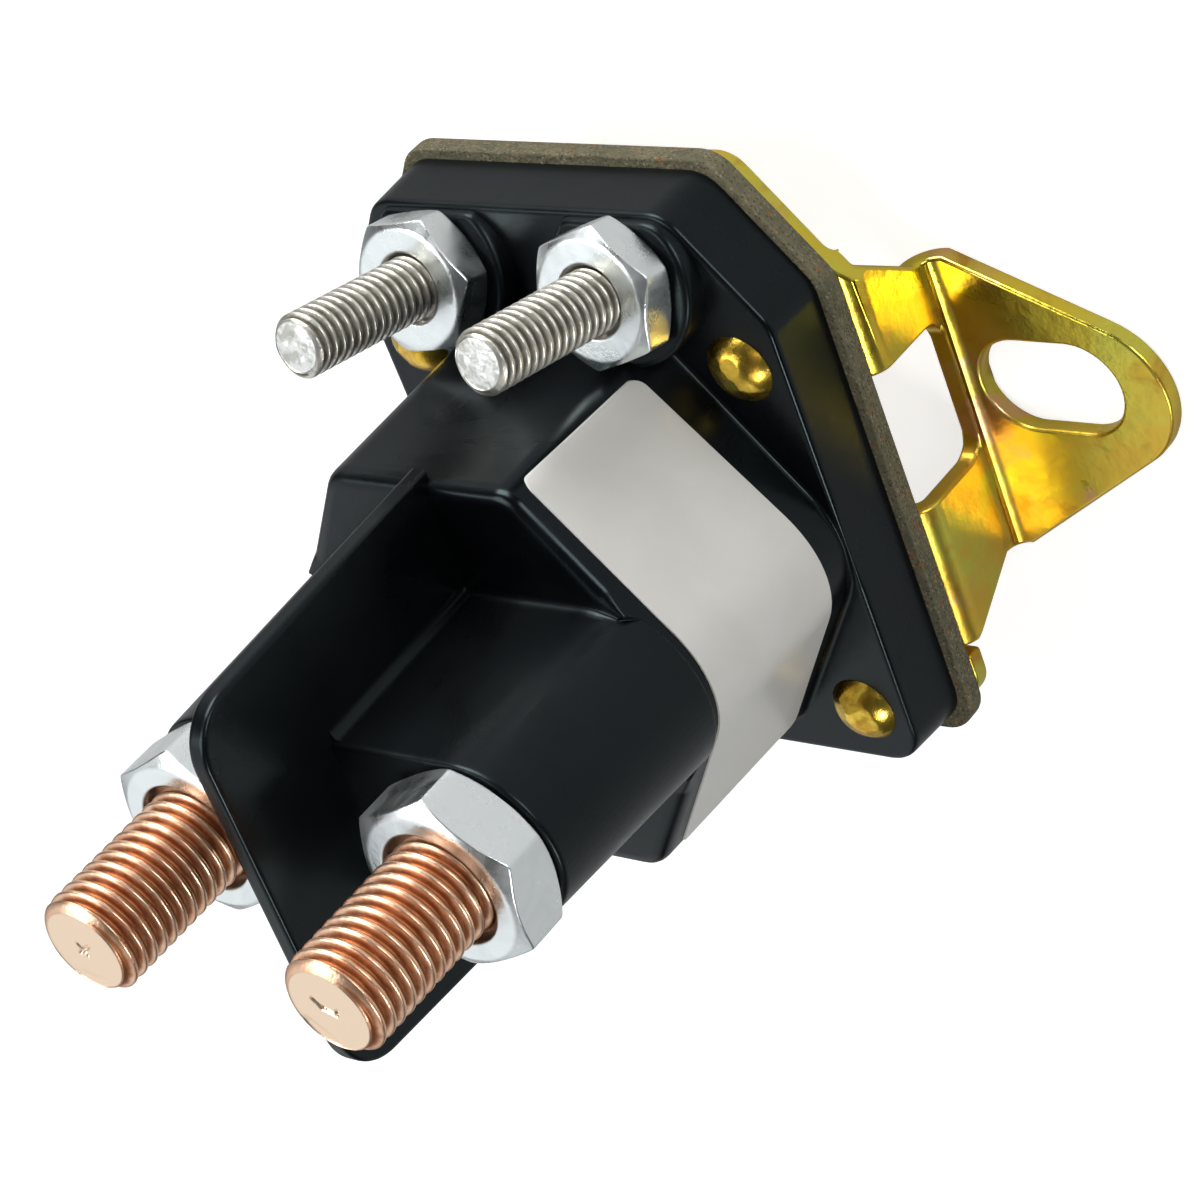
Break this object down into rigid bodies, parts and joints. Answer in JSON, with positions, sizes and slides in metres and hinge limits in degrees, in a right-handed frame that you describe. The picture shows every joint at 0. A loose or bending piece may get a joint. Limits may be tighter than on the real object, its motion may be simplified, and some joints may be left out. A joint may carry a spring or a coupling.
{
  "type": "starter solenoid",
  "caption": "Compact starter solenoid: black moulded body with two copper battery studs and two small coil studs on a bent plated bracket with slotted ears.",
  "frame": {"origin": "midway between the two ear slots on the underside of the ears, where the part sits on its mounting panel", "axes": "+Z away from the panel along the battery studs, +X through the two slots, +Y towards the two small coil studs"},
  "size_m": [0.0744, 0.0488, 0.068],
  "materials": {
    "black_moulding": "near-black moulded plastic, satin gloss",
    "fibre_gasket": "olive-grey pressed fibre, mottled",
    "yellow_zinc": "yellow zinc plate with green and pink shades",
    "gold_rivet": "yellow zinc, bright dome",
    "copper_stud": "bright copper thread, pale ends",
    "bright_zinc": "bright zinc plate",
    "nickel_stud": "dull nickel-grey thread",
    "label_film": "light warm grey printed film, left bare",
    "plain_steel": "plain machined steel",
    "bobbin_plastic": "natural nylon",
    "enamelled_wire": "enamelled copper wire",
    "tape_film": "yellow film tape",
    "lead_sleeve": "red sleeve",
    "tube_brass": "drawn brass",
    "spring_wire": "spring steel",
    "copper_bar": "plain copper",
    "phenolic": "brown phenolic",
    "black_rubber": "black rubber"
  },
  "bodies": {
    "base": {"housing": "black_moulding", "gasket": "fibre_gasket", "mounting_bracket": "yellow_zinc", "rivets": "gold_rivet", "battery_stud_left": "copper_stud", "battery_stud_right": "copper_stud", "battery_nut_left": "bright_zinc", "battery_nut_right": "bright_zinc", "coil_stud_left": "nickel_stud", "coil_stud_right": "nickel_stud", "coil_nut_left": "bright_zinc", "coil_nut_right": "bright_zinc", "label": "label_film", "coil_can": "plain_steel", "flux_washer": "plain_steel", "bobbin": "bobbin_plastic", "coil_winding": "enamelled_wire", "coil_tape": "tape_film", "coil_lead_left": "lead_sleeve", "coil_lead_right": "lead_sleeve", "fixed_core": "plain_steel", "guide_tube": "tube_brass", "return_spring": "spring_wire", "stop_pad": "black_rubber"},
    "plunger_group": {"plunger": "plain_steel", "push_rod": "plain_steel", "retaining_clip": "spring_wire", "contact_spring": "spring_wire"},
    "contact_group": {"contact_bar": "copper_bar", "upper_insulator": "phenolic", "lower_insulator": "phenolic"}
  },
  "joints": [
    {"name": "plunger_slide", "type": "slide", "parent": "base", "child": "plunger_group", "axis": [0, 0, 1], "range_m": [0, 0.0033], "stiffness_N_per_m": 400, "springref_m": -0.004, "deforming": ["return_spring"]},
    {"name": "contact_slide", "type": "slide", "parent": "base", "child": "contact_group", "axis": [0, 0, 1], "range_m": [0, 0.00245], "deforming": ["contact_spring"]}
  ],
  "couplings": [
    {"joint": "contact_slide", "follows": "plunger_slide", "ratio": 0.742}
  ]
}
